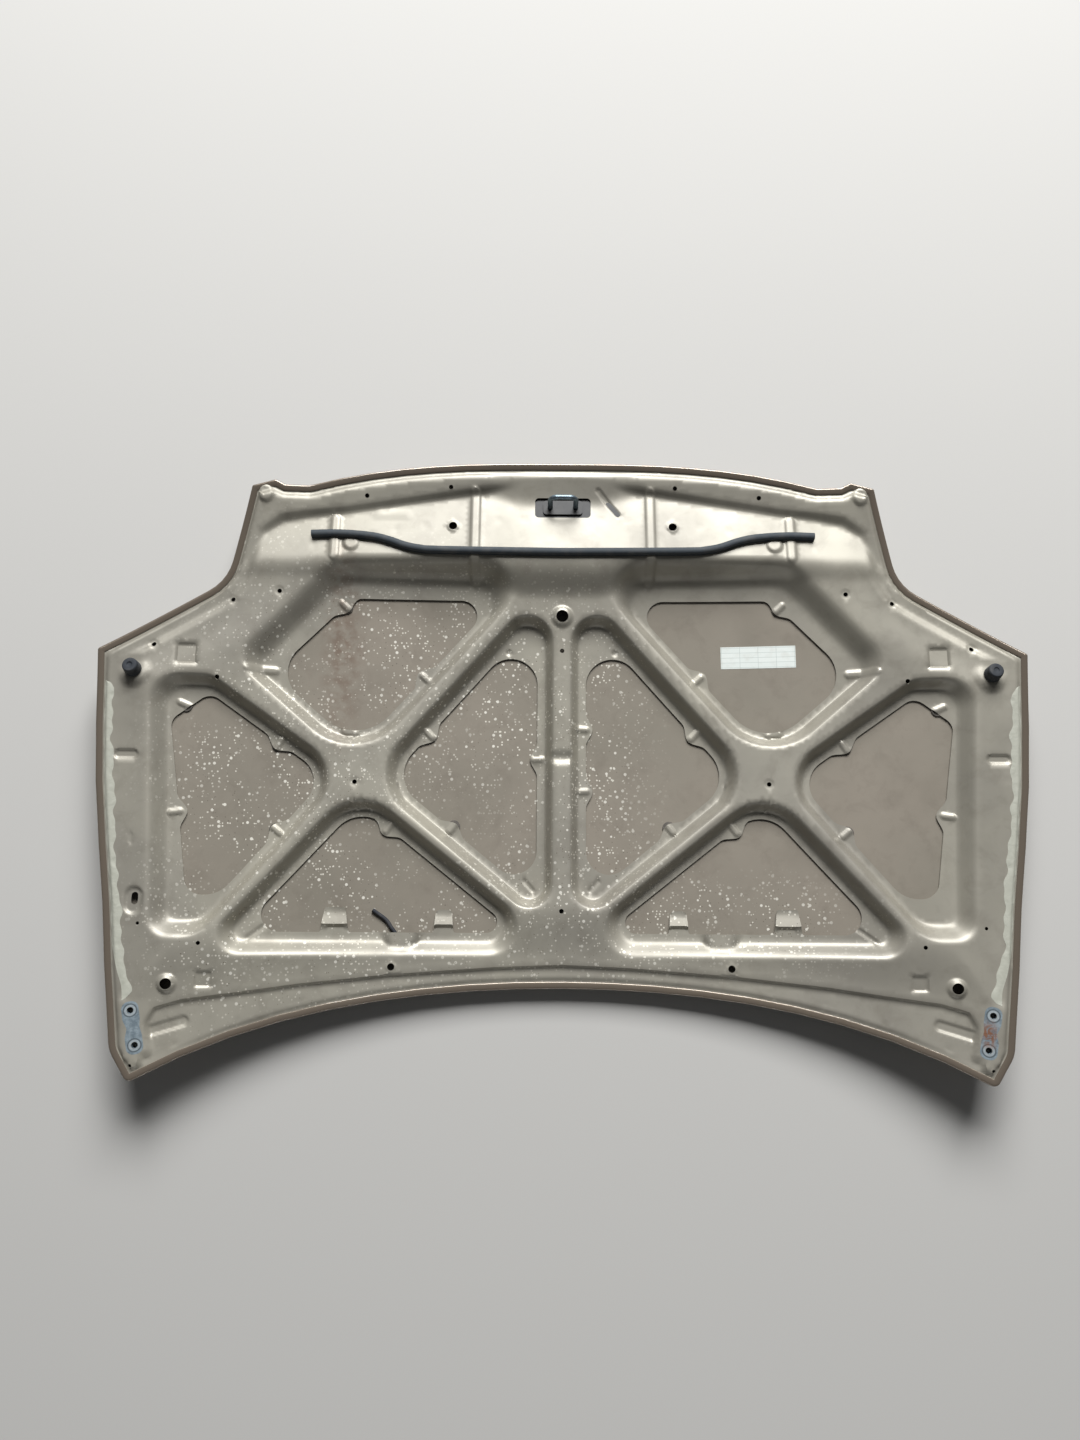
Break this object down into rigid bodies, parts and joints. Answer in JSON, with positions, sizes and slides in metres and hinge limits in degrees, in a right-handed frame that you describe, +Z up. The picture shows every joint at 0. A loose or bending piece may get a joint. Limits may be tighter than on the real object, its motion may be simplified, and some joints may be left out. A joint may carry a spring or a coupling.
{
  "type": "car bonnet",
  "caption": "Pressed sheet-metal car bonnet lying on its crown, underside up, with a ribbed inner panel, latch striker, rubber seal and bump stops.",
  "frame": {"origin": "under the middle of the plan box, level with the lowest point of the skin, which is its crown", "axes": "+X across the car, the longest way; +Y towards the front edge with the latch; +Z up, out of the underside of the bonnet"},
  "size_m": [1.4158, 0.941, 0.0954],
  "materials": {
    "skin_paint": "satin metallic paint, dusty",
    "panel_paint": "satin metallic paint, dusty",
    "bare_steel": "zinc plated, dull",
    "seal_rubber": "matt",
    "stop_rubber": "matt",
    "mastic": "matt, soft bonding pad",
    "label_film": "matt blank film"
  },
  "bodies": {
    "root": {"outer_skin": "skin_paint", "inner_panel": "panel_paint", "hinge_reinforcement_left": "bare_steel", "hinge_nut_front_left": "bare_steel", "hinge_nut_rear_left": "bare_steel", "hinge_reinforcement_right": "bare_steel", "hinge_nut_front_right": "bare_steel", "hinge_nut_rear_right": "bare_steel", "bump_stop_left": "stop_rubber", "bump_stop_right": "stop_rubber", "latch_reinforcement": "bare_steel", "striker_base": "bare_steel", "striker_loop": "bare_steel", "front_seal": "seal_rubber", "mastic_pad_1_left": "mastic", "mastic_pad_2_left": "mastic", "mastic_pad_3_left": "mastic", "mastic_pad_4_left": "mastic", "mastic_pad_5_left": "mastic", "mastic_pad_6_left": "mastic", "mastic_pad_7_left": "mastic", "mastic_pad_8_left": "mastic", "mastic_pad_9_left": "mastic", "mastic_pad_10_left": "mastic", "mastic_pad_1_right": "mastic", "mastic_pad_2_right": "mastic", "mastic_pad_3_right": "mastic", "mastic_pad_4_right": "mastic", "mastic_pad_5_right": "mastic", "mastic_pad_6_right": "mastic", "mastic_pad_7_right": "mastic", "mastic_pad_8_right": "mastic", "mastic_pad_9_right": "mastic", "mastic_pad_10_right": "mastic", "mastic_pad_11_right": "mastic", "label": "label_film", "washer_hose": "seal_rubber"}
  },
  "joints": []
}
